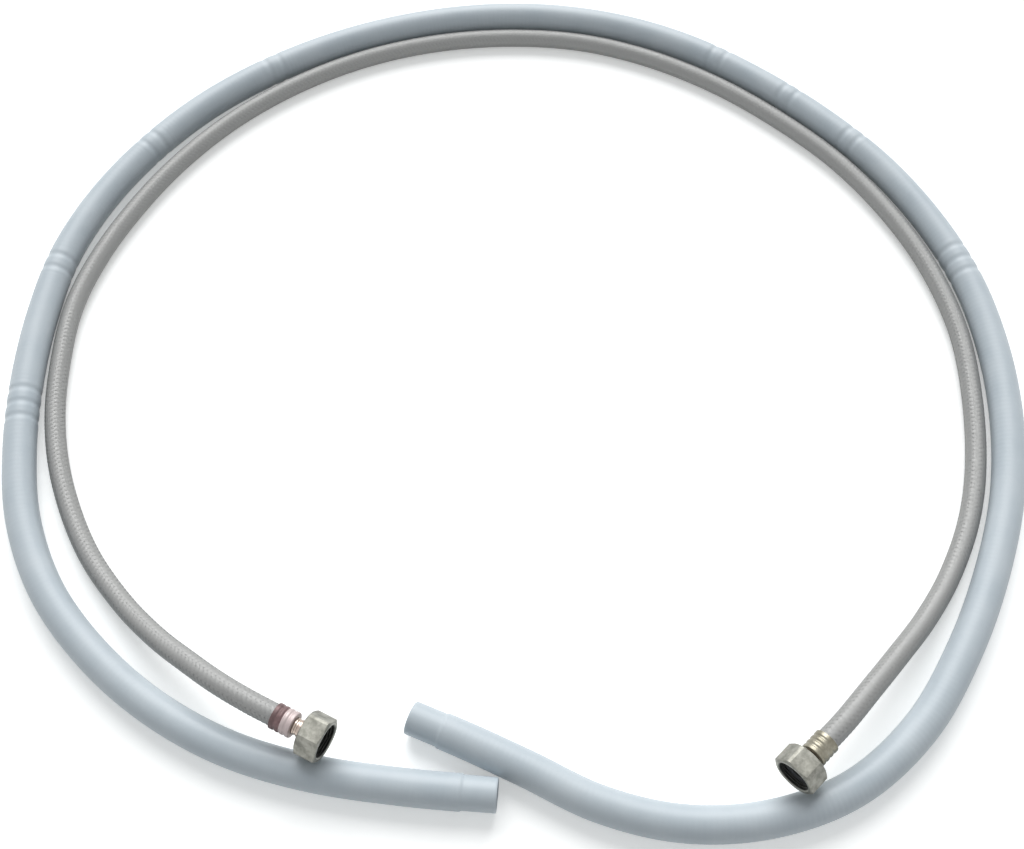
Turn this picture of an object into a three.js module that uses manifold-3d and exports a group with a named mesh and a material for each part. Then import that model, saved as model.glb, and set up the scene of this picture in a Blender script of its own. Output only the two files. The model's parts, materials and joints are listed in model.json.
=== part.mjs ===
import * as THREE from 'three';
import { mergeVertices } from 'three/addons/utils/BufferGeometryUtils.js';
import Module from 'manifold-3d';

const wasm = await Module();
wasm.setup();

// Driving dimensions, in millimetres, +Z up, the floor at z = 0

// Drain hose: smooth moulded tube with narrower plain cuffs and grooved cutting bands
const DRAIN_OUTSIDE_DIAMETER = 26;
const DRAIN_WALL = 2.2;
const DRAIN_SIDES = 12;
const DRAIN_STEPS = 56;
const CUFF_STEP = 0.8;
const CUFF_LENGTH = 24;
const GROOVE_DEPTH = 0.9;
const GROOVE_WIDTH = 5;
const GROOVE_PITCH = 13;

// Grooved bands: distance of the band's middle from the hose's left end, and its grooves
const BANDS = [
  { station: 554, grooves: 3 },
  { station: 695, grooves: 2 },
  { station: 847, grooves: 2 },
  { station: 989, grooves: 2 },
  { station: 1438, grooves: 2 },
  { station: 1517, grooves: 2 },
  { station: 1592, grooves: 2 },
  { station: 1751, grooves: 3 },
];

// Supply hose: rubber liner inside a woven steel sleeve
const SUPPLY_OUTSIDE_DIAMETER = 16.5;
const BRAID_WALL = 1.65;
const BRAID_SIDES = 12;
const LINER_WALL = 1.2;
const LINER_SIDES = 8;
const SUPPLY_STEPS = 60;

// Crimped ferrules
const FERRULE_WALL = 0.95;
const FERRULE_LENGTH = 16;
const FERRULE_FRONT_WALL = 1.2;
const CRIMPS = 3;
const CRIMP_DEPTH = 0.45;
const CRIMP_WIDTH = 2.4;

// Hose tails: barbed spigot in the liner, neck under the nut, flange in it
const TAIL_WALL = 0.8;
const BARBS = 3;
const BARB_PITCH = 3.6;
const BARB_DEPTH = 0.4;
const BARB_LAND = 2.2;
const NECK_SHOULDER = 2;
const NECK_LENGTH = 11;
const FLANGE_THICKNESS = 2;

// Swivel nuts for a three-quarter-inch pipe thread
const THREAD_CREST_DIAMETER = 24.2;
const THREAD_LENGTH = 9.4;
const NUT_WALL = 2.9;
const NUT_BACK_WALL = 3;
const NUT_CORNER_TRIM = 0.72;
const NUT_CHAMFER = 1.2;
const MOUTH_CHAMFER = 0.9;

// Sealing washers
const WASHER_THICKNESS = 2;
const WASHER_BORE_DIAMETER = 11;

// Clearances between neighbours
const FIT_GAP = 0.3;
const NECK_CLEARANCE = 0.4;
const FLANGE_CLEARANCE = 0.9;
const WASHER_CLEARANCE = 0.4;
const NUT_REST_GAP = 0.6;

// Fineness of turned parts, and how far a cutting tool runs past what it cuts
const ROUND_SEGMENTS = 24;
const CUT_PAST = 1;

// Place of each level fitting: middle of the ferrule's front face and heading in degrees, how far the
// nut is slid back from the flange, and how far beside the drain hose's middle the nut rests on that hose
const LEFT_FITTING = { x: -150.6, y: -327.6, heading: -27, nutBack: 0.3, beside: 17 };
const RIGHT_FITTING = { x: 203.8, y: -348.5, heading: 224, nutBack: 4.8, beside: 18.9 };

// Straight run of the supply hose in and behind each ferrule, from the ferrule's front face
const HOSE_END_RUN = [9, 17, 36];

// Route of the drain hose on the floor, from the left open end clockwise to the right one
const DRAIN_ROUTE = [
  [-11, -369], [-78, -363], [-144, -353], [-204, -335], [-260, -305],
  [-309, -265], [-350, -216], [-378, -158], [-392, -97], [-398, -32],
  [-397, 34], [-388, 98], [-365, 161], [-328, 222], [-278, 278],
  [-213, 326], [-138, 362], [-57, 383], [22, 387], [98, 374],
  [166, 346], [229, 303], [285, 252], [332, 196], [367, 133],
  [390, 66], [399, -3], [397, -70], [385, -136], [362, -200],
  [330, -263], [289, -321], [236, -364], [176, -385], [116, -388],
  [60, -375], [8, -350], [-33, -331], [-73, -314],
];

// Route of the supply hose between its two straight ends: x, y and height of the middle
const SUPPLY_ROUTE = [
  [-207, -297, 36.2], [-232, -279, 29.8], [-260, -257, 21], [-292, -226, 12.6],
  [-327, -181, 8.5], [-356, -121, 8.25], [-371, -65, 8.25],
  [-376, -8, 8.25], [-374, 46, 8.25], [-361, 97, 8.25], [-338, 150, 8.25], [-305, 205, 8.25],
  [-261, 257, 8.25], [-207, 301, 8.25], [-145, 335, 8.25], [-78, 356, 8.25],
  [-5, 364, 8.25], [66, 358, 8.25], [130, 337, 8.25], [191, 303, 8.25],
  [246, 259, 8.25], [295, 208, 8.25], [333, 150, 8.25], [360, 88, 8.25],
  [375, 20, 8.25], [375, -46, 8.25], [366, -112, 8.25], [352, -159, 8.3],
  [329, -205, 10.4], [303, -242, 16.8], [275.4, -273.6, 25.4], [251, -300.4, 33],
];

// Values that follow from the driving dimensions
const DRAIN_RADIUS = DRAIN_OUTSIDE_DIAMETER / 2;
const DRAIN_BORE_RADIUS = DRAIN_RADIUS - DRAIN_WALL;
const SUPPLY_RADIUS = SUPPLY_OUTSIDE_DIAMETER / 2;
const BRAID_BORE_RADIUS = SUPPLY_RADIUS - BRAID_WALL;
const LINER_RADIUS = BRAID_BORE_RADIUS * Math.cos(Math.PI / BRAID_SIDES) - FIT_GAP;
const LINER_BORE_RADIUS = LINER_RADIUS - LINER_WALL;
const BARB_RADIUS = LINER_BORE_RADIUS * Math.cos(Math.PI / LINER_SIDES) - FIT_GAP;
const BARB_ROOT_RADIUS = BARB_RADIUS - BARB_DEPTH;
const TAIL_BORE_RADIUS = BARB_ROOT_RADIUS - TAIL_WALL;
const NECK_RADIUS = BARB_RADIUS + NECK_SHOULDER;
const THREAD_RADIUS = THREAD_CREST_DIAMETER / 2;
const FLANGE_RADIUS = THREAD_RADIUS - FLANGE_CLEARANCE;
const WASHER_RADIUS = THREAD_RADIUS - WASHER_CLEARANCE;
const NUT_FLAT_RADIUS = THREAD_RADIUS + NUT_WALL;
const NUT_SHARP_RADIUS = NUT_FLAT_RADIUS / Math.cos(Math.PI / 6);
const NUT_CORNER_RADIUS = NUT_SHARP_RADIUS - NUT_CORNER_TRIM;

// Lengths along a fitting, from the ferrule's front face towards the nut's mouth
const HOSE_END = -FERRULE_FRONT_WALL - FIT_GAP;
const NECK_BACK = FIT_GAP;
const FLANGE_BACK = NECK_BACK + NECK_LENGTH;
const FLANGE_FRONT = FLANGE_BACK + FLANGE_THICKNESS;
const WASHER_BACK = FLANGE_FRONT + FIT_GAP;
const WASHER_FRONT = WASHER_BACK + WASHER_THICKNESS;
const NUT_LENGTH = NUT_BACK_WALL + FIT_GAP + WASHER_FRONT - FLANGE_BACK + THREAD_LENGTH;

// Surface finishes
const FINISH = {
  drain: { color: 0xb4bec8, roughness: 0.48, metalness: 0 },
  rubber: { color: 0x26272a, roughness: 0.8, metalness: 0 },
  braid: { color: 0xa7a49e, roughness: 0.38, metalness: 0.9 },
  redFerrule: { color: 0x9b6a62, roughness: 0.42, metalness: 0.6 },
  steelFerrule: { color: 0x9a968a, roughness: 0.35, metalness: 0.9 },
  tail: { color: 0xb9a58c, roughness: 0.35, metalness: 0.9 },
  nickel: { color: 0x9b998c, roughness: 0.3, metalness: 0.95 },
};

// Closed solid from a geometry, for joining and cutting
function toSolid(geometry) {
  const bare = geometry.clone();
  bare.deleteAttribute('normal');
  bare.deleteAttribute('uv');
  const merged = mergeVertices(bare, 1e-4);
  return new wasm.Manifold(new wasm.Mesh({
    numProp: 3,
    vertProperties: Float32Array.from(merged.attributes.position.array),
    triVerts: Uint32Array.from(merged.index.array),
  }));
}

function toGeometry(solid) {
  const mesh = solid.getMesh();
  const geometry = new THREE.BufferGeometry();
  geometry.setAttribute('position', new THREE.BufferAttribute(mesh.vertProperties, 3));
  geometry.setIndex(new THREE.BufferAttribute(mesh.triVerts, 1));
  geometry.computeVertexNormals();
  return geometry;
}

function namedMesh(name, geometry, finish) {
  const mesh = new THREE.Mesh(geometry, new THREE.MeshStandardMaterial(FINISH[finish]));
  mesh.name = name;
  return mesh;
}

// Regular polygon with a flat side down, its corners on a circle of the given radius
function polygonPoints(radius, sides) {
  return Array.from({ length: sides }, (_, i) => {
    const angle = (2 * Math.PI * (i + 0.5)) / sides;
    return new THREE.Vector2(radius * Math.cos(angle), radius * Math.sin(angle));
  });
}

// Pipe of an even polygonal section along a curve
function pipeGeometry(curve, outerRadius, boreRadius, sides, steps) {
  const section = new THREE.Shape(polygonPoints(outerRadius, sides));
  section.holes.push(new THREE.Path(polygonPoints(boreRadius, sides).reverse()));
  return new THREE.ExtrudeGeometry(section, { steps, extrudePath: curve });
}

// Turned ring about the local Y axis, from pairs of radius and height
function turned(pairs, segments = ROUND_SEGMENTS, firstAngle = 0) {
  const profile = pairs.map(([radius, height]) => new THREE.Vector2(radius, height));
  profile.push(profile[0].clone());
  return new THREE.LatheGeometry(profile, segments, firstAngle);
}

// Unit vector along a fitting, pointing out of its nut
function fittingAxis({ heading }) {
  const turn = THREE.MathUtils.degToRad(heading);
  return new THREE.Vector3(Math.cos(turn), Math.sin(turn), 0);
}

// Place of a nut's back face along its fitting
function nutBackFace({ nutBack }) {
  return FLANGE_BACK - NUT_BACK_WALL - nutBack;
}

// Height of a fitting whose nut rests on the flank of the drain hose, clear of it in every turn
function fittingHeight({ beside }) {
  const reach = DRAIN_RADIUS + NUT_CORNER_RADIUS + NUT_REST_GAP;
  return DRAIN_RADIUS + Math.sqrt(reach * reach - beside * beside);
}

function fittingOrigin(place) {
  return new THREE.Vector3(place.x, place.y, fittingHeight(place));
}

// Points of the hose's straight end behind a fitting, from its cut end backwards
function hoseEndPoints(place) {
  const axis = fittingAxis(place);
  const origin = fittingOrigin(place);
  return [-HOSE_END, ...HOSE_END_RUN].map((back) => origin.clone().addScaledVector(axis, -back));
}

function drainCurve() {
  return new THREE.CatmullRomCurve3(DRAIN_ROUTE.map(([x, y]) => new THREE.Vector3(x, y, DRAIN_RADIUS)));
}

function supplyCurve() {
  return new THREE.CatmullRomCurve3([
    ...hoseEndPoints(LEFT_FITTING),
    ...SUPPLY_ROUTE.map(([x, y, z]) => new THREE.Vector3(x, y, z)),
    ...hoseEndPoints(RIGHT_FITTING).reverse(),
  ]);
}

// Ring-shaped cutter whose axis lies along the stepped drain pipe at a given station
function ringCutter(curve, station, width, innerRadius) {
  const length = curve.getLength();
  const stepLength = length / DRAIN_STEPS;
  const step = Math.min(Math.floor(station / stepLength), DRAIN_STEPS - 1);
  const start = curve.getPointAt(step / DRAIN_STEPS);
  const end = curve.getPointAt((step + 1) / DRAIN_STEPS);
  const middle = start.clone().lerp(end, station / stepLength - step);
  const outerRadius = DRAIN_RADIUS + CUT_PAST;
  const section = [
    [innerRadius, -width / 2],
    [outerRadius, -width / 2],
    [outerRadius, width / 2],
    [innerRadius, width / 2],
  ];
  const ring = turned(section, DRAIN_SIDES, Math.PI / DRAIN_SIDES);
  const along = end.clone().sub(start).normalize();
  ring.applyQuaternion(new THREE.Quaternion().setFromUnitVectors(new THREE.Vector3(0, 1, 0), along));
  ring.translate(middle.x, middle.y, middle.z);
  return toSolid(ring);
}

// Drain hose: one moulded piece, open right through
function drainHose() {
  const curve = drainCurve();
  const length = curve.getLength();
  let solid = toSolid(pipeGeometry(curve, DRAIN_RADIUS, DRAIN_BORE_RADIUS, DRAIN_SIDES, DRAIN_STEPS));
  for (const { station, grooves } of BANDS) {
    for (let i = 0; i < grooves; i += 1) {
      const middle = station + (i - (grooves - 1) / 2) * GROOVE_PITCH;
      solid = solid.subtract(ringCutter(curve, middle, GROOVE_WIDTH, DRAIN_RADIUS - GROOVE_DEPTH));
    }
  }
  for (const station of [0, length]) {
    solid = solid.subtract(ringCutter(curve, station, 2 * CUFF_LENGTH, DRAIN_RADIUS - CUFF_STEP));
  }
  return namedMesh('drain_hose', toGeometry(solid), 'drain');
}

function supplyLiner() {
  const curve = supplyCurve();
  const geometry = pipeGeometry(curve, LINER_RADIUS, LINER_BORE_RADIUS, LINER_SIDES, SUPPLY_STEPS);
  return namedMesh('supply_liner', geometry, 'rubber');
}

function supplyBraid() {
  const curve = supplyCurve();
  const geometry = pipeGeometry(curve, SUPPLY_RADIUS, BRAID_BORE_RADIUS, BRAID_SIDES, SUPPLY_STEPS);
  return namedMesh('supply_braid', geometry, 'braid');
}

// Crimped sleeve over the hose end, closed in front around the tail
function ferrule(name, finish) {
  const inner = SUPPLY_RADIUS + FIT_GAP;
  const outer = inner + FERRULE_WALL;
  const hole = BARB_RADIUS + FIT_GAP;
  const pairs = [[inner, -FERRULE_LENGTH], [outer, -FERRULE_LENGTH]];
  for (let i = 1; i <= CRIMPS; i += 1) {
    const middle = FERRULE_LENGTH * (i / (CRIMPS + 1) - 1);
    pairs.push([outer, middle - CRIMP_WIDTH / 2]);
    pairs.push([outer - CRIMP_DEPTH, middle - CRIMP_WIDTH / 4]);
    pairs.push([outer - CRIMP_DEPTH, middle + CRIMP_WIDTH / 4]);
    pairs.push([outer, middle + CRIMP_WIDTH / 2]);
  }
  pairs.push([outer, -FERRULE_FRONT_WALL / 2], [outer - FERRULE_FRONT_WALL / 2, 0]);
  pairs.push([hole, 0], [hole, -FERRULE_FRONT_WALL], [inner, -FERRULE_FRONT_WALL]);
  return namedMesh(name, turned(pairs), finish);
}

// Hose tail: barbed spigot in the liner, neck under the nut and flange against the washer
function tail(name) {
  const tip = -FERRULE_FRONT_WALL - BARB_LAND - BARBS * BARB_PITCH;
  const pairs = [[TAIL_BORE_RADIUS, tip], [BARB_ROOT_RADIUS, tip]];
  for (let i = 1; i <= BARBS; i += 1) {
    const ridge = tip + i * BARB_PITCH;
    pairs.push([BARB_RADIUS, ridge], [BARB_ROOT_RADIUS, ridge]);
  }
  pairs.push([BARB_ROOT_RADIUS, NECK_BACK], [NECK_RADIUS, NECK_BACK], [NECK_RADIUS, FLANGE_BACK]);
  pairs.push([FLANGE_RADIUS, FLANGE_BACK], [FLANGE_RADIUS, FLANGE_FRONT], [TAIL_BORE_RADIUS, FLANGE_FRONT]);
  return namedMesh(name, turned(pairs), 'tail');
}

// Flat sealing washer lying on the tail's flange
function washer(name) {
  const bore = WASHER_BORE_DIAMETER / 2;
  const section = [
    [bore, WASHER_BACK],
    [WASHER_RADIUS, WASHER_BACK],
    [WASHER_RADIUS, WASHER_FRONT],
    [bore, WASHER_FRONT],
  ];
  return namedMesh(name, turned(section), 'rubber');
}

// Hexagonal swivel nut with turned corners, open at the threaded mouth
function swivelNut(name) {
  const outline = Array.from({ length: 6 }, (_, i) => {
    const angle = (i * Math.PI) / 3;
    return new THREE.Vector2(NUT_SHARP_RADIUS * Math.cos(angle), NUT_SHARP_RADIUS * Math.sin(angle));
  });
  const hexagon = new THREE.Shape(outline);
  const prism = new THREE.ExtrudeGeometry(hexagon, { depth: NUT_LENGTH, bevelEnabled: false });
  prism.rotateX(-Math.PI / 2);
  const end = NUT_CORNER_RADIUS - NUT_CHAMFER * Math.sqrt(3);
  const blank = turned([
    [0, 0],
    [end, 0],
    [NUT_CORNER_RADIUS, NUT_CHAMFER],
    [NUT_CORNER_RADIUS, NUT_LENGTH - NUT_CHAMFER],
    [end, NUT_LENGTH],
    [0, NUT_LENGTH],
  ]);
  const hole = NECK_RADIUS + NECK_CLEARANCE;
  const socket = turned([
    [0, -CUT_PAST],
    [hole, -CUT_PAST],
    [hole, NUT_BACK_WALL],
    [THREAD_RADIUS, NUT_BACK_WALL],
    [THREAD_RADIUS, NUT_LENGTH - MOUTH_CHAMFER],
    [THREAD_RADIUS + MOUTH_CHAMFER, NUT_LENGTH],
    [THREAD_RADIUS + MOUTH_CHAMFER, NUT_LENGTH + CUT_PAST],
    [0, NUT_LENGTH + CUT_PAST],
  ]);
  const solid = toSolid(prism).intersect(toSolid(blank)).subtract(toSolid(socket));
  return namedMesh(name, toGeometry(solid), 'nickel');
}

// One end fitting, its local Y axis pointing out of the nut and its local Z axis up
function fitting(side, place, ferruleFinish) {
  const end = new THREE.Group();
  const nut = swivelNut(`nut_${side}`);
  nut.position.y = nutBackFace(place);
  end.add(ferrule(`ferrule_${side}`, ferruleFinish), tail(`tail_${side}`), washer(`washer_${side}`), nut);
  end.position.copy(fittingOrigin(place));
  end.rotation.z = THREE.MathUtils.degToRad(place.heading - 90);
  return end;
}

const group = new THREE.Group();
group.add(drainHose(), supplyLiner(), supplyBraid());
group.add(fitting('left', LEFT_FITTING, 'redFerrule'));
group.add(fitting('right', RIGHT_FITTING, 'steelFerrule'));

export default group;
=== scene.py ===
import json
import math

import bpy
import numpy as np
from mathutils import Matrix, Vector


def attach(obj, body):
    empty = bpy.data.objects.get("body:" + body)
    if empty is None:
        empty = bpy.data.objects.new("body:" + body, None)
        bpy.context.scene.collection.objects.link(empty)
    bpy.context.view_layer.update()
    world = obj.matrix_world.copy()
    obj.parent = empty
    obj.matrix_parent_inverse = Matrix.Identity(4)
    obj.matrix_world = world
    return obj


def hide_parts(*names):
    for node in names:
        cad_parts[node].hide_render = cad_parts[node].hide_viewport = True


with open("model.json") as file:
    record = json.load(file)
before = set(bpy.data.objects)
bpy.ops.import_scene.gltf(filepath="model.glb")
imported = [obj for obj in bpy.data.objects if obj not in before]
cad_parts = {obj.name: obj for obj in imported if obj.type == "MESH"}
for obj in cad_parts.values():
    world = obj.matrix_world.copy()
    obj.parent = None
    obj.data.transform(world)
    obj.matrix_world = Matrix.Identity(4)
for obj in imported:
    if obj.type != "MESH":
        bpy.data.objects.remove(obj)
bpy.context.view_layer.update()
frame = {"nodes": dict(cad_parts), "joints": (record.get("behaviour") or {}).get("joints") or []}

# All sizes are in metres
MM = 0.001

# Camera at the photograph's viewing angle, looking down on the floor
CAMERA_PLACE = (-0.001, -0.5957, 0.9174)
CAMERA_ELEVATION = 60
CAMERA_LENS = 45.7

# Drain hose: a moulded tube with bands of soft ring grooves and a plain narrower cuff at each end
DRAIN_RADIUS = 13 * MM
DRAIN_BORE_RADIUS = 10.8 * MM
CUFF_STEP = 0.8 * MM
CUFF_LENGTH = 24 * MM
CUFF_SLOPE_LENGTH = 1.5 * MM
GROOVE_DEPTH = 0.55 * MM
GROOVE_WIDTH = 9 * MM
GROOVE_PITCH = 13 * MM
RIB_PITCH = 4 * MM
RIB_HEIGHT = 0.035 * MM
LIP_RADIUS = 1 * MM

# Bands: distance of the band's middle from the left end in millimetres, and its number of grooves
BANDS = [
    (554, 3),
    (695, 2),
    (847, 2),
    (989, 2),
    (1438, 2),
    (1517, 2),
    (1592, 2),
    (1751, 3),
]

# Supply hose: flat strands of wire over a plain tube, with the rubber liner inside
BRAID_BORE_RADIUS = 6.6 * MM
BRAID_BASE_RADIUS = 7.72 * MM
STRAND_RADIUS = 7.99 * MM
STRAND_WEAVE = 0.2 * MM
STRAND_CROWN = 0.12 * MM
STRAND_WIDTH = 2.75 * MM
STRANDS = 12
WIRES_IN_STRAND = 6
BRAID_SLOPE = 1.1

# Places along a fitting's axis, from the ferrule's front face towards the nut's mouth
FERRULE_LENGTH = 16 * MM
FERRULE_RADIUS = 9.5 * MM
FERRULE_BORE_RADIUS = 8.55 * MM
FERRULE_HOLE_RADIUS = 4.5 * MM
FERRULE_FRONT_WALL = 1.2 * MM
FERRULE_EDGE = 0.25 * MM
CRIMPS = 3
CRIMP_DEPTH = 0.45 * MM
CRIMP_WIDTH = 2.4 * MM
BARE_BAND_BACK = -8 * MM
TAIL_BORE_RADIUS = 3 * MM
BARB_RADIUS = 4.2 * MM
BARB_ROOT_RADIUS = 3.8 * MM
BARB_PITCH = 3.6 * MM
BARBS = 3
TAIL_TIP = -14.2 * MM
TAIL_EDGE = 0.2 * MM
NECK_BACK = 0.3 * MM
NECK_RADIUS = 6.2 * MM
NECK_GROOVE_BACK = NECK_BACK + 1.4 * MM
NECK_GROOVE_FRONT = NECK_BACK + 3.5 * MM
NECK_GROOVE_DEPTH = 0.5 * MM
FLANGE_BACK = 11.3 * MM
FLANGE_FRONT = 13.3 * MM
FLANGE_RADIUS = 11.2 * MM
WASHER_BACK = 13.6 * MM
WASHER_FRONT = 15.6 * MM
WASHER_RADIUS = 11.7 * MM
WASHER_BORE_RADIUS = 5.5 * MM
WASHER_EDGE = 0.4 * MM
NUT_BACK_FACES = {"left": 8 * MM, "right": 3.5 * MM}
NUT_LENGTH = 17 * MM
NUT_BACK_WALL = 3 * MM
NUT_HOLE_RADIUS = 6.6 * MM
NUT_FLAT_RADIUS = 15 * MM
NUT_CORNER_RADIUS = 16.6 * MM
NUT_CHAMFER = 1.2 * MM
THREAD_CREST_RADIUS = 12.1 * MM
THREAD_DEPTH = 1.1 * MM
THREAD_PITCH = 1.814 * MM
THREAD_FADE = 0.8 * MM
THREAD_RELIEF = 0.4 * MM
MOUTH_CHAMFER = 0.9 * MM

# Mesh density
ROUTE_STEPS = 40
TANGENT_REACH = 1.5 * MM
DRAIN_SIDES = 32
DRAIN_STEP = 1 * MM
DRAIN_BORE_RINGS = 130
LIP_STEPS = (0, 0.07, 0.3, 0.65)
BRAID_SIDES = 24
BRAID_STEP = 6 * MM
TURNED_SIDES = 72
THREAD_ROWS = 44
CHAMFER_STEPS = (0, 0.12, 0.24, 0.36, 0.5, 0.7, 1)
FLAT_ANGLES = (0.15, 0.3)
CORNER_EASE = 0.02

# Edges that turn by more degrees than these stay sharp
DRAIN_CREASE = 50
BRAID_CREASE = 60
TURNED_CREASE = 40
NUT_CREASE = 24

# Floor and light
FLOOR_REACH = 6
FLOOR_COLOUR = (0.93, 0.94, 0.94)
FLOOR_GLOW_COLOUR = (0.985, 1.0, 0.99)
FLOOR_GLOW = 0.36
SKY_COLOUR = (0.97, 0.985, 1.0)
SKY_STRENGTH = 0.36
BACKDROP_STRENGTH = 1.0
SUN_DIRECTION = (0.04, -0.74, -0.66)
SUN_STRENGTH = 2.8
SUN_ANGLE = 50

# Route of the drain hose on the floor, from its left open end clockwise to the right one
DRAIN_ROUTE = [
    (-0.011, -0.369), (-0.078, -0.363), (-0.144, -0.353), (-0.204, -0.335), (-0.260, -0.305),
    (-0.309, -0.265), (-0.350, -0.216), (-0.378, -0.158), (-0.392, -0.097), (-0.398, -0.032),
    (-0.397, 0.034), (-0.388, 0.098), (-0.365, 0.161), (-0.328, 0.222), (-0.278, 0.278),
    (-0.213, 0.326), (-0.138, 0.362), (-0.057, 0.383), (0.022, 0.387), (0.098, 0.374),
    (0.166, 0.346), (0.229, 0.303), (0.285, 0.252), (0.332, 0.196), (0.367, 0.133),
    (0.390, 0.066), (0.399, -0.003), (0.397, -0.070), (0.385, -0.136), (0.362, -0.200),
    (0.330, -0.263), (0.289, -0.321), (0.236, -0.364), (0.176, -0.385), (0.116, -0.388),
    (0.060, -0.375), (0.008, -0.350), (-0.033, -0.331), (-0.073, -0.314),
]

# Route of the supply hose between its two straight ends: x, y and height of the middle
SUPPLY_ROUTE = [
    (-0.207, -0.297, 0.0362), (-0.232, -0.279, 0.0298), (-0.260, -0.257, 0.021),
    (-0.292, -0.226, 0.0126), (-0.327, -0.181, 0.0085), (-0.356, -0.121, 0.00825),
    (-0.371, -0.065, 0.00825), (-0.376, -0.008, 0.00825),
    (-0.374, 0.046, 0.00825), (-0.361, 0.097, 0.00825), (-0.338, 0.150, 0.00825),
    (-0.305, 0.205, 0.00825), (-0.261, 0.257, 0.00825), (-0.207, 0.301, 0.00825),
    (-0.145, 0.335, 0.00825), (-0.078, 0.356, 0.00825), (-0.005, 0.364, 0.00825),
    (0.066, 0.358, 0.00825), (0.130, 0.337, 0.00825), (0.191, 0.303, 0.00825),
    (0.246, 0.259, 0.00825), (0.295, 0.208, 0.00825), (0.333, 0.150, 0.00825),
    (0.360, 0.088, 0.00825), (0.375, 0.020, 0.00825), (0.375, -0.046, 0.00825),
    (0.366, -0.112, 0.00825), (0.352, -0.159, 0.0083), (0.329, -0.205, 0.0104),
    (0.303, -0.242, 0.0168), (0.2754, -0.2736, 0.0254), (0.251, -0.3004, 0.033),
]

# Points of the supply hose's straight ends, behind each ferrule's front face
HOSE_END_RUN = [1.5 * MM, 9 * MM, 17 * MM, 36 * MM]


def make_camera():
    data = bpy.data.cameras.new("view")
    data.lens = CAMERA_LENS
    data.sensor_width = 36
    camera = bpy.data.objects.new("view", data)
    camera.location = CAMERA_PLACE
    camera.rotation_euler = (math.radians(90 - CAMERA_ELEVATION), 0, 0)
    bpy.context.scene.collection.objects.link(camera)
    bpy.context.scene.camera = camera


# Mesh helpers

def mesh_object(name, vertices, faces, material, crease=None):
    """Smooth-shaded object, with sharp edges only where its faces turn by more than the crease."""
    mesh = bpy.data.meshes.new(name)
    mesh.from_pydata(vertices, [], faces)
    mesh.polygons.foreach_set("use_smooth", [True] * len(mesh.polygons))
    if crease is not None:
        mesh.set_sharp_from_angle(angle=math.radians(crease))
    mesh.materials.append(material)
    mesh.update()
    piece = bpy.data.objects.new(name, mesh)
    bpy.context.scene.collection.objects.link(piece)
    return piece


def add_attribute(piece, name, values):
    """One number a vertex, for the piece's material to read."""
    attribute = piece.data.attributes.new(name, "FLOAT", "POINT")
    attribute.data.foreach_set("value", np.array(values, np.float32))


def ring_faces(rings, sides, first=0, closed=False):
    """Quads between rings of vertices that follow each other, which face out."""
    ring = np.arange(rings if closed else rings - 1)[:, None]
    side = np.arange(sides)[None, :]
    after = (ring + 1) % rings
    turn = (side + 1) % sides
    quads = np.stack([
        ring * sides + side,
        ring * sides + turn,
        after * sides + turn,
        after * sides + side,
    ], axis=-1)
    return (quads.reshape(-1, 4) + first).tolist()


def circle_angles(sides):
    return np.linspace(0, 2 * np.pi, sides, endpoint=False)


def smooth_route(points):
    """Centripetal Catmull-Rom curve through the points."""
    knots = [Vector(p) for p in points]
    knots = [2 * knots[0] - knots[1]] + knots + [2 * knots[-1] - knots[-2]]
    line = []
    for p0, p1, p2, p3 in zip(knots, knots[1:], knots[2:], knots[3:]):
        d0, d1, d2 = ((b - a).length ** 0.5 for a, b in ((p0, p1), (p1, p2), (p2, p3)))
        m1 = ((p1 - p0) / d0 - (p2 - p0) / (d0 + d1) + (p2 - p1) / d1) * d1
        m2 = ((p2 - p1) / d1 - (p3 - p1) / (d1 + d2) + (p3 - p2) / d2) * d1
        cubic = 2 * p1 - 2 * p2 + m1 + m2
        square = -3 * p1 + 3 * p2 - 2 * m1 - m2
        for i in range(ROUTE_STEPS):
            t = i / ROUTE_STEPS
            line.append(p1 + m1 * t + square * t * t + cubic * t * t * t)
    line.append(knots[-2])
    return np.array([tuple(p) for p in line])


class Line:
    """A route that is read by the distance from its start."""

    def __init__(self, points):
        self.points = smooth_route(points)
        steps = np.linalg.norm(np.diff(self.points, axis=0), axis=1)
        self.along = np.concatenate([[0], np.cumsum(steps)])
        self.length = self.along[-1]

    def at(self, stations):
        columns = [np.interp(stations, self.along, self.points[:, i]) for i in range(3)]
        return np.stack(columns, axis=-1)

    def frames(self, stations):
        """Places, sideways and upward directions, one row a station."""
        ahead = self.at(np.minimum(stations + TANGENT_REACH, self.length))
        behind = self.at(np.maximum(stations - TANGENT_REACH, 0))
        forward = ahead - behind
        forward /= np.linalg.norm(forward, axis=1)[:, None]
        up = np.array([0, 0, 1.0]) - forward * forward[:, 2:3]
        up /= np.linalg.norm(up, axis=1)[:, None]
        return self.at(stations), np.cross(forward, up), up


def tube_points(line, stations, radii, angles):
    """Vertices round the line. Radii and angles hold one row a station and one column a side."""
    place, side, up = line.frames(stations)
    sideways = side[:, None, :] * np.cos(angles)[..., None]
    upwards = up[:, None, :] * np.sin(angles)[..., None]
    out = (sideways + upwards) * radii[..., None]
    return (place[:, None, :] + out).reshape(-1, 3)


# Material helpers

def new_material(name):
    material = bpy.data.materials.new(name)
    material.use_nodes = True
    nodes = material.node_tree.nodes
    return material, nodes, material.node_tree.links, nodes["Principled BSDF"]


def noise(nodes, links, scale, detail, roughness=0.55):
    """Noise that lies still on the object."""
    texture = nodes.new("ShaderNodeTexNoise")
    texture.inputs["Scale"].default_value = scale
    texture.inputs["Detail"].default_value = detail
    texture.inputs["Roughness"].default_value = roughness
    place = nodes.new("ShaderNodeTexCoord")
    links.new(place.outputs["Object"], texture.inputs["Vector"])
    return texture.outputs["Fac"]


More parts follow.
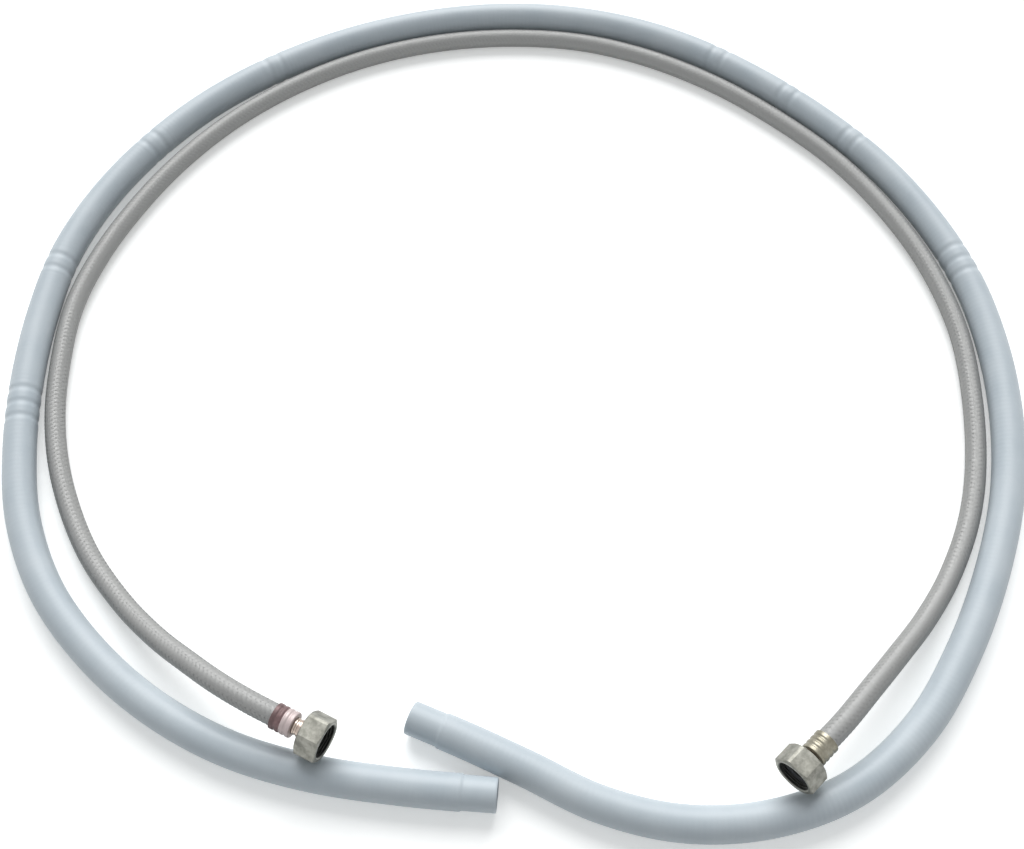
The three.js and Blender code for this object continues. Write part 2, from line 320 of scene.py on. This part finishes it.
def attribute_value(nodes, name):
    attribute = nodes.new("ShaderNodeAttribute")
    attribute.attribute_name = name
    return attribute.outputs["Fac"]


def colour_ramp(nodes, links, source, stops):
    ramp = nodes.new("ShaderNodeValToRGB")
    elements = ramp.color_ramp.elements
    while len(elements) < len(stops):
        elements.new(0.5)
    for element, (position, colour) in zip(elements, stops):
        element.position = position
        element.color = (*colour, 1)
    links.new(source, ramp.inputs["Fac"])
    return ramp.outputs["Color"]


def value_range(nodes, links, source, at_zero, at_one):
    mapped = nodes.new("ShaderNodeMapRange")
    mapped.inputs["To Min"].default_value = at_zero
    mapped.inputs["To Max"].default_value = at_one
    links.new(source, mapped.inputs["Value"])
    return mapped.outputs["Result"]


def bump(nodes, links, height, distance, strength=1.0):
    made = nodes.new("ShaderNodeBump")
    made.inputs["Distance"].default_value = distance
    made.inputs["Strength"].default_value = strength
    links.new(height, made.inputs["Height"])
    return made.outputs["Normal"]


# Materials

def drain_plastic():
    """Light blue-grey plastic, faintly clouded, with a soft sheen."""
    material, nodes, links, shader = new_material("drain_plastic")
    cloud = noise(nodes, links, scale=28, detail=3)
    grain = noise(nodes, links, scale=1400, detail=2)
    tone = colour_ramp(nodes, links, cloud, [(0.3, (0.475, 0.54, 0.585)), (0.7, (0.54, 0.60, 0.64))])
    links.new(tone, shader.inputs["Base Color"])
    links.new(value_range(nodes, links, cloud, 0.36, 0.52), shader.inputs["Roughness"])
    links.new(bump(nodes, links, grain, 0.03 * MM), shader.inputs["Normal"])
    shader.inputs["Specular IOR Level"].default_value = 0.5
    return material


def wire_profile(nodes, links):
    """Height over the wires that lie side by side in a strand: 0 between two wires, 1 on a wire."""
    phase = nodes.new("ShaderNodeMath")
    phase.operation = "MULTIPLY"
    phase.inputs[1].default_value = WIRES_IN_STRAND * math.pi
    links.new(attribute_value(nodes, "across"), phase.inputs[0])
    wave = nodes.new("ShaderNodeMath")
    wave.operation = "SINE"
    links.new(phase.outputs["Value"], wave.inputs[0])
    height = nodes.new("ShaderNodeMath")
    height.operation = "ABSOLUTE"
    links.new(wave.outputs["Value"], height.inputs[0])
    return height.outputs["Value"]


def braid_steel():
    """Bright wire crowns, with painted shade on the wire flanks and darker painted shade in the gaps
    between the wires.
    """
    material, nodes, links, shader = new_material("steel_braid")
    wires = wire_profile(nodes, links)
    smear = noise(nodes, links, scale=220, detail=2)
    # Colour follows the wire height: the flanks carry painted shade, the gaps between wires carry
    # darker painted shade, and the crowns stay bright.
    painted_gap_shade, painted_flank_shade, crown = (0.07, 0.069, 0.067), (0.28, 0.281, 0.276), (0.445, 0.448, 0.44)
    tone = colour_ramp(nodes, links, wires, [(0.0, painted_gap_shade), (0.35, painted_flank_shade), (1.0, crown)])
    links.new(tone, shader.inputs["Base Color"])
    links.new(value_range(nodes, links, smear, 0.42, 0.58), shader.inputs["Roughness"])
    links.new(bump(nodes, links, wires, 0.1 * MM, strength=0.5), shader.inputs["Normal"])
    shader.inputs["Metallic"].default_value = 0.3
    return material


def turned_metal(name, dark, light, metallic, shiny, dull, second_tone_or_painted_shade=None):
    """Tarnished metal or lacquer with a fine grain, between a shiny and a dull roughness.

    It takes the second colour, if there is one, where the piece's zone attribute is 1: a second tone of
    its finish, or painted shade in a recess.
    """
    material, nodes, links, shader = new_material(name)
    tarnish = noise(nodes, links, scale=160, detail=5, roughness=0.6)
    grain = noise(nodes, links, scale=2600, detail=2)
    tone = colour_ramp(nodes, links, tarnish, [(0.35, dark), (0.62, light)])
    if second_tone_or_painted_shade is not None:
        blend = nodes.new("ShaderNodeMix")
        blend.data_type = "RGBA"
        blend.inputs["B"].default_value = (*second_tone_or_painted_shade, 1)
        links.new(attribute_value(nodes, "zone"), blend.inputs["Factor"])
        links.new(tone, blend.inputs["A"])
        tone = blend.outputs["Result"]
    links.new(tone, shader.inputs["Base Color"])
    links.new(value_range(nodes, links, tarnish, dull, shiny), shader.inputs["Roughness"])
    links.new(bump(nodes, links, grain, 0.02 * MM), shader.inputs["Normal"])
    shader.inputs["Metallic"].default_value = metallic
    return material


def black_rubber():
    material, nodes, links, shader = new_material("black_rubber")
    mottle = noise(nodes, links, scale=700, detail=3)
    tone = colour_ramp(nodes, links, mottle, [(0.3, (0.012, 0.012, 0.013)), (0.7, (0.03, 0.03, 0.032))])
    links.new(tone, shader.inputs["Base Color"])
    links.new(bump(nodes, links, mottle, 0.04 * MM), shader.inputs["Normal"])
    shader.inputs["Roughness"].default_value = 0.7
    return material


# Drain hose

def drain_outer_radius(station, length):
    """Outer radius of the drain hose at distances from its left end."""
    rib_wave = np.cos(2 * np.pi * station / RIB_PITCH)
    radius = DRAIN_RADIUS - RIB_HEIGHT + RIB_HEIGHT * rib_wave
    for middle, grooves in BANDS:
        from_middle = station - middle * MM
        in_band = np.abs(from_middle) < grooves * GROOVE_PITCH / 2
        radius = np.where(in_band, DRAIN_RADIUS, radius)
        for i in range(grooves):
            from_groove = np.abs(from_middle - (i - (grooves - 1) / 2) * GROOVE_PITCH)
            share = np.clip(from_groove / (GROOVE_WIDTH / 2), 0, 1)
            radius -= GROOVE_DEPTH * (1 + np.cos(np.pi * share)) / 2
    from_end = np.minimum(station, length - station)
    slope = np.clip((from_end - CUFF_LENGTH) / CUFF_SLOPE_LENGTH, 0, 1)
    cuff_radius = DRAIN_RADIUS - CUFF_STEP
    radius = cuff_radius + (radius - cuff_radius) * slope * slope * (3 - 2 * slope)
    lip = np.clip(1 - from_end / LIP_RADIUS, 0, 1)
    return radius - LIP_RADIUS * (1 - np.sqrt(1 - lip * lip))


def drain_hose(line, material):
    """Outer wall from the left end to the right one, then the bore back again."""
    plain = np.arange(0, line.length, DRAIN_STEP)
    lip = LIP_RADIUS * np.array(LIP_STEPS)
    stations = np.unique(np.concatenate([plain[2:-1], lip, line.length - lip]))
    bore_stations = np.linspace(line.length, 0, DRAIN_BORE_RINGS)
    radii = np.concatenate([
        drain_outer_radius(stations, line.length),
        np.full(DRAIN_BORE_RINGS, DRAIN_BORE_RADIUS),
    ])
    stations = np.concatenate([stations, bore_stations])
    vertices = tube_points(line, stations, radii[:, None], circle_angles(DRAIN_SIDES)[None, :])
    faces = ring_faces(len(stations), DRAIN_SIDES, closed=True)
    return mesh_object("drain_hose_tube", vertices.tolist(), faces, material, DRAIN_CREASE)


# Supply hose: strands wound both ways, each two over and two under, round a closed tube

def braid_sleeve(line, material):
    crossings = int(line.length * STRANDS * BRAID_SLOPE / (math.pi * STRAND_RADIUS))
    steps = np.arange(crossings + 1)
    stations = steps * (line.length / crossings)
    half_angle = STRAND_WIDTH / 2 / math.cos(math.atan(BRAID_SLOPE)) / STRAND_RADIUS
    section_angles = half_angle * np.array([-1, 0, 1])
    section_crown = STRAND_CROWN * np.array([0, 1, 0])
    strand_points = 3 * len(stations)
    vertices, faces, across = [], [], []
    for direction in (1, -1):
        for i in range(STRANDS):
            lattice = 2 * i + direction * steps
            weave = direction * STRAND_WEAVE * np.cos(np.pi / 2 * (lattice - 0.5))
            angles = (math.pi / STRANDS * lattice)[:, None] + section_angles
            radii = STRAND_RADIUS + weave[:, None] + section_crown
            first = len(across)
            last = first + strand_points - 3
            vertices.append(tube_points(line, stations, radii, angles))
            faces += ring_faces(len(stations), 3, first)
            faces += [[first + 2, first + 1, first], [last, last + 1, last + 2]]
            across += [0.0, 0.5, 1.0] * len(stations)
    rings = int(line.length / BRAID_STEP)
    outward = np.linspace(0, line.length, rings)
    stations = np.concatenate([outward, outward[::-1]])
    radii = np.repeat([BRAID_BASE_RADIUS, BRAID_BORE_RADIUS], rings)
    vertices.append(tube_points(line, stations, radii[:, None], circle_angles(BRAID_SIDES)[None, :]))
    faces += ring_faces(2 * rings, BRAID_SIDES, len(across), closed=True)
    # The plain tube under the strands reads as a gap, so it takes the darkest painted shade.
    across += [0.0] * (2 * rings * BRAID_SIDES)
    vertices = np.concatenate(vertices).tolist()
    piece = mesh_object("supply_braid_sleeve", vertices, faces, material, BRAID_CREASE)
    add_attribute(piece, "across", across)
    return piece


# End fittings, each made along its own Y axis from its ferrule's front face

def fitting_frame(joint_name):
    """Matrix from a fitting's own axes, Y out of the nut and Z up, to the part's frame."""
    joint = next(j for j in frame["joints"] if j["name"] == joint_name)
    along = Vector(joint["axis"]).normalized()
    up = (Vector((0, 0, 1)) - along * along.z).normalized()
    turn = Matrix((along.cross(up), along, up)).transposed().to_4x4()
    return Matrix.Translation(joint["pos_m"]) @ turn


def hose_end(place):
    """Straight run of the supply hose into a fitting, from its ferrule backwards."""
    return [tuple(place @ Vector((0, -back, 0))) for back in HOSE_END_RUN]


def rounded(profile, radius, steps=3):
    """Closed profile with its corners rounded."""
    made = []
    for i, corner in enumerate(profile):
        here = Vector(corner)
        before = Vector(profile[i - 1]) - here
        after = Vector(profile[(i + 1) % len(profile)]) - here
        cut = min(radius, before.length * 0.45, after.length * 0.45)
        start = here + before.normalized() * cut
        end = here + after.normalized() * cut
        for k in range(steps + 1):
            t = k / steps
            made.append(tuple(start * (1 - t) ** 2 + here * (2 * t * (1 - t)) + end * t * t))
    return made


def axis_rings(rows, angles, place):
    """Vertices of rings round the Y axis. A row is its radius, or one for each angle, and its place."""
    return [
        tuple(place @ Vector((r * math.cos(a), along, r * math.sin(a))))
        for radius, along in rows
        for r, a in zip(np.broadcast_to(radius, angles.shape), angles)
    ]


def turned_piece(name, profile, place, material):
    """Ring from a closed profile of (radius, place on Y) pairs, laid anticlockwise from its bore."""
    vertices = axis_rings(profile, circle_angles(TURNED_SIDES), place)
    faces = ring_faces(len(profile), TURNED_SIDES, closed=True)
    return mesh_object(name, vertices, faces, material, TURNED_CREASE)


def ferrule(side, place, material):
    """Crimped sleeve. Its front part is the zone that a second colour may fill."""
    crimp_section = ((-0.5, 0), (-0.3, 0.75), (-0.1, 1), (0.1, 1), (0.3, 0.75), (0.5, 0))
    profile = [(FERRULE_BORE_RADIUS, -FERRULE_LENGTH), (FERRULE_RADIUS, -FERRULE_LENGTH)]
    for i in range(1, CRIMPS + 1):
        middle = FERRULE_LENGTH * (i / (CRIMPS + 1) - 1)
        for share, depth in crimp_section:
            profile.append((FERRULE_RADIUS - depth * CRIMP_DEPTH, middle + share * CRIMP_WIDTH))
    profile += [
        (FERRULE_RADIUS, -FERRULE_FRONT_WALL / 2),
        (FERRULE_RADIUS - FERRULE_FRONT_WALL / 2, 0),
        (FERRULE_HOLE_RADIUS, 0),
        (FERRULE_HOLE_RADIUS, -FERRULE_FRONT_WALL),
        (FERRULE_BORE_RADIUS, -FERRULE_FRONT_WALL),
    ]
    profile = rounded(profile, FERRULE_EDGE)
    piece = turned_piece(f"ferrule_{side}_sleeve", profile, place, material)
    in_band = [float(along > BARE_BAND_BACK) for _, along in profile]
    add_attribute(piece, "zone", np.repeat(in_band, TURNED_SIDES))
    return piece


def tail(side, place, material):
    """Spigot with barbs, a grooved neck and the flange that holds the nut."""
    profile = [(TAIL_BORE_RADIUS, TAIL_TIP), (BARB_ROOT_RADIUS, TAIL_TIP)]
    for i in range(1, BARBS + 1):
        ridge = TAIL_TIP + i * BARB_PITCH
        profile += [(BARB_RADIUS, ridge), (BARB_ROOT_RADIUS, ridge)]
    profile += [
        (BARB_ROOT_RADIUS, NECK_BACK),
        (NECK_RADIUS, NECK_BACK),
        (NECK_RADIUS, NECK_GROOVE_BACK),
        (NECK_RADIUS - NECK_GROOVE_DEPTH, NECK_GROOVE_BACK + NECK_GROOVE_DEPTH),
        (NECK_RADIUS - NECK_GROOVE_DEPTH, NECK_GROOVE_FRONT - NECK_GROOVE_DEPTH),
        (NECK_RADIUS, NECK_GROOVE_FRONT),
        (NECK_RADIUS, FLANGE_BACK),
        (FLANGE_RADIUS, FLANGE_BACK),
        (FLANGE_RADIUS, FLANGE_FRONT),
        (TAIL_BORE_RADIUS, FLANGE_FRONT),
    ]
    return turned_piece(f"tail_{side}_spigot", rounded(profile, TAIL_EDGE), place, material)


def washer(side, place, material):
    profile = [
        (WASHER_BORE_RADIUS, WASHER_BACK),
        (WASHER_RADIUS, WASHER_BACK),
        (WASHER_RADIUS, WASHER_FRONT),
        (WASHER_BORE_RADIUS, WASHER_FRONT),
    ]
    profile = rounded(profile, WASHER_EDGE, steps=4)
    return turned_piece(f"washer_{side}_ring", profile, place, material)


def nut_corner_angles():
    """Angles of one side of the hexagon from its middle, dense where its corner is turned off."""
    corner = math.acos(NUT_FLAT_RADIUS / NUT_CORNER_RADIUS)
    half_side = [*FLAT_ANGLES, corner - CORNER_EASE, corner, corner + CORNER_EASE]
    return np.array([-math.pi / 6, *(-a for a in reversed(half_side)), 0, *half_side])


def thread_rows(angles):
    """Rows of one helical groove from the nut's mouth to its back wall, fading out at both ends."""
    front = NUT_LENGTH - MOUTH_CHAMFER
    back = NUT_BACK_WALL + THREAD_RELIEF
    rows = []
    for height in np.linspace(front, back, THREAD_ROWS):
        turn = (height / THREAD_PITCH - angles / (2 * np.pi)) % 1
        groove = 1 - np.abs(2 * turn - 1)
        fade = min(1, (front - height) / THREAD_FADE, (height - back) / THREAD_FADE)
        rows.append((THREAD_CREST_RADIUS + THREAD_DEPTH * fade * groove, height))
    return rows


def swivel_nut(side, place, material):
    """Chamfered hexagon nut. Its threaded bore is the zone that a second colour may fill; the nut's
    material fills it with painted shade.
    """
    from_flat = nut_corner_angles()
    angles = np.concatenate([math.pi / 2 + k * math.pi / 3 + from_flat for k in range(6)])
    outline = np.tile(np.minimum(NUT_FLAT_RADIUS / np.cos(from_flat), NUT_CORNER_RADIUS), 6)
    chamfer_drop = NUT_CHAMFER * math.sqrt(3)
    chamfer = [
        (np.minimum(outline, NUT_CORNER_RADIUS - (1 - share) * chamfer_drop), share * NUT_CHAMFER)
        for share in CHAMFER_STEPS
    ]
    outside = [(NUT_HOLE_RADIUS, 0), *chamfer]
    outside += [(radii, NUT_LENGTH - height) for radii, height in reversed(chamfer)]
    outside.append((THREAD_CREST_RADIUS + MOUTH_CHAMFER, NUT_LENGTH))
    inside = thread_rows(angles)
    inside += [(THREAD_CREST_RADIUS, NUT_BACK_WALL), (NUT_HOLE_RADIUS, NUT_BACK_WALL)]
    rows = [(radii, NUT_BACK_FACES[side] + height) for radii, height in outside + inside]
    vertices = axis_rings(rows, angles, place)
    faces = ring_faces(len(rows), len(angles), closed=True)
    piece = mesh_object(f"nut_{side}_hex", vertices, faces, material, NUT_CREASE)
    # The inside rows take the painted shade of the nut's recess.
    painted_shade_in_bore = [0.0] * len(outside) + [1.0] * len(inside)
    add_attribute(piece, "zone", np.repeat(painted_shade_in_bore, len(angles)))
    return piece


# Stage

def seen_ray(nodes, links):
    """1 for a ray from the camera or one that a shiny or clear surface sends on, otherwise 0."""
    path = nodes.new("ShaderNodeLightPath")
    seen = path.outputs["Is Camera Ray"]
    for kind in ("Is Glossy Ray", "Is Transmission Ray"):
        either = nodes.new("ShaderNodeMath")
        either.operation = "MAXIMUM"
        links.new(seen, either.inputs[0])
        links.new(path.outputs[kind], either.inputs[1])
        seen = either.outputs["Value"]
    return seen


def white_floor():
    """Pale floor: it takes the soft shadow, and reads as the photograph's white paper."""
    material, nodes, links, shader = new_material("pale_floor")
    shader.inputs["Base Color"].default_value = (*FLOOR_COLOUR, 1)
    shader.inputs["Roughness"].default_value = 0.9
    shader.inputs["Specular IOR Level"].default_value = 0.1
    glow = nodes.new("ShaderNodeEmission")
    glow.inputs["Color"].default_value = (*FLOOR_GLOW_COLOUR, 1)
    glow_strength = value_range(nodes, links, seen_ray(nodes, links), 0.0, FLOOR_GLOW)
    links.new(glow_strength, glow.inputs["Strength"])
    both = nodes.new("ShaderNodeAddShader")
    links.new(shader.outputs["BSDF"], both.inputs[0])
    links.new(glow.outputs["Emission"], both.inputs[1])
    links.new(both.outputs["Shader"], nodes["Material Output"].inputs["Surface"])
    corners = [(FLOOR_REACH * x, FLOOR_REACH * y, 0) for x, y in ((-1, -1), (1, -1), (1, 1), (-1, 1))]
    mesh_object("floor", corners, [[0, 1, 2, 3]], material)


def studio_light():
    """Even sky, white where it is seen, and one wide soft lamp."""
    world = bpy.data.worlds.new("studio")
    bpy.context.scene.world = world
    world.use_nodes = True
    nodes, links = world.node_tree.nodes, world.node_tree.links
    background = nodes["Background"]
    background.inputs["Color"].default_value = (*SKY_COLOUR, 1)
    strength = value_range(nodes, links, seen_ray(nodes, links), SKY_STRENGTH, BACKDROP_STRENGTH)
    links.new(strength, background.inputs["Strength"])
    sun = bpy.data.lights.new("window", "SUN")
    sun.energy = SUN_STRENGTH
    sun.angle = math.radians(SUN_ANGLE)
    lamp = bpy.data.objects.new("window", sun)
    lamp.rotation_euler = Vector(SUN_DIRECTION).to_track_quat("-Z", "Y").to_euler()
    bpy.context.scene.collection.objects.link(lamp)


# The scene itself

make_camera()

left_place = fitting_frame("left_nut_spin")
right_place = fitting_frame("right_nut_spin")
drain_line = Line([(x, y, DRAIN_RADIUS) for x, y in DRAIN_ROUTE])
supply_line = Line(hose_end(left_place) + SUPPLY_ROUTE + hose_end(right_place)[::-1])

drain = drain_hose(drain_line, drain_plastic())
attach(drain, "hoses")
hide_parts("drain_hose")

braid = braid_sleeve(supply_line, braid_steel())
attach(braid, "hoses")
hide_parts("supply_braid")

rubber = black_rubber()
tail_metal = turned_metal(
    "tail_metal",
    dark=(0.42, 0.34, 0.29),
    light=(0.62, 0.52, 0.45),
    metallic=0.9,
    shiny=0.22,
    dull=0.38,
)
nut_metal = turned_metal(
    "nut_metal",
    dark=(0.185, 0.183, 0.158),
    light=(0.345, 0.34, 0.30),
    metallic=0.7,
    shiny=0.36,
    dull=0.52,
    # Near-black painted shade inside the threaded bore, where the nut's recess lies in shade.
    second_tone_or_painted_shade=(0.045, 0.045, 0.04),
)
red_sleeve = turned_metal(
    "red_ferrule",
    dark=(0.13, 0.08, 0.08),
    light=(0.22, 0.135, 0.135),
    metallic=0.3,
    shiny=0.4,
    dull=0.55,
    second_tone_or_painted_shade=(0.56, 0.47, 0.46),
)
steel_sleeve = turned_metal(
    "steel_ferrule",
    dark=(0.20, 0.185, 0.14),
    light=(0.33, 0.31, 0.25),
    metallic=0.85,
    shiny=0.3,
    dull=0.46,
)

for end, end_place, sleeve, sleeve_slot in (
    ("left", left_place, red_sleeve, "red_ferrule"),
    ("right", right_place, steel_sleeve, "steel_ferrule"),
):
    made = {
        "ferrule": ferrule(end, end_place, sleeve),
        "tail": tail(end, end_place, tail_metal),
        "washer": washer(end, end_place, rubber),
        "nut": swivel_nut(end, end_place, nut_metal),
    }
    for kind, piece in made.items():
        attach(piece, f"{end}_nut" if kind == "nut" else "hoses")
        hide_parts(f"{kind}_{end}")

liner = frame["nodes"]["supply_liner"]
liner.data.materials.clear()
liner.data.materials.append(rubber)

white_floor()
studio_light()
bpy.context.scene.view_settings.view_transform = "Standard"
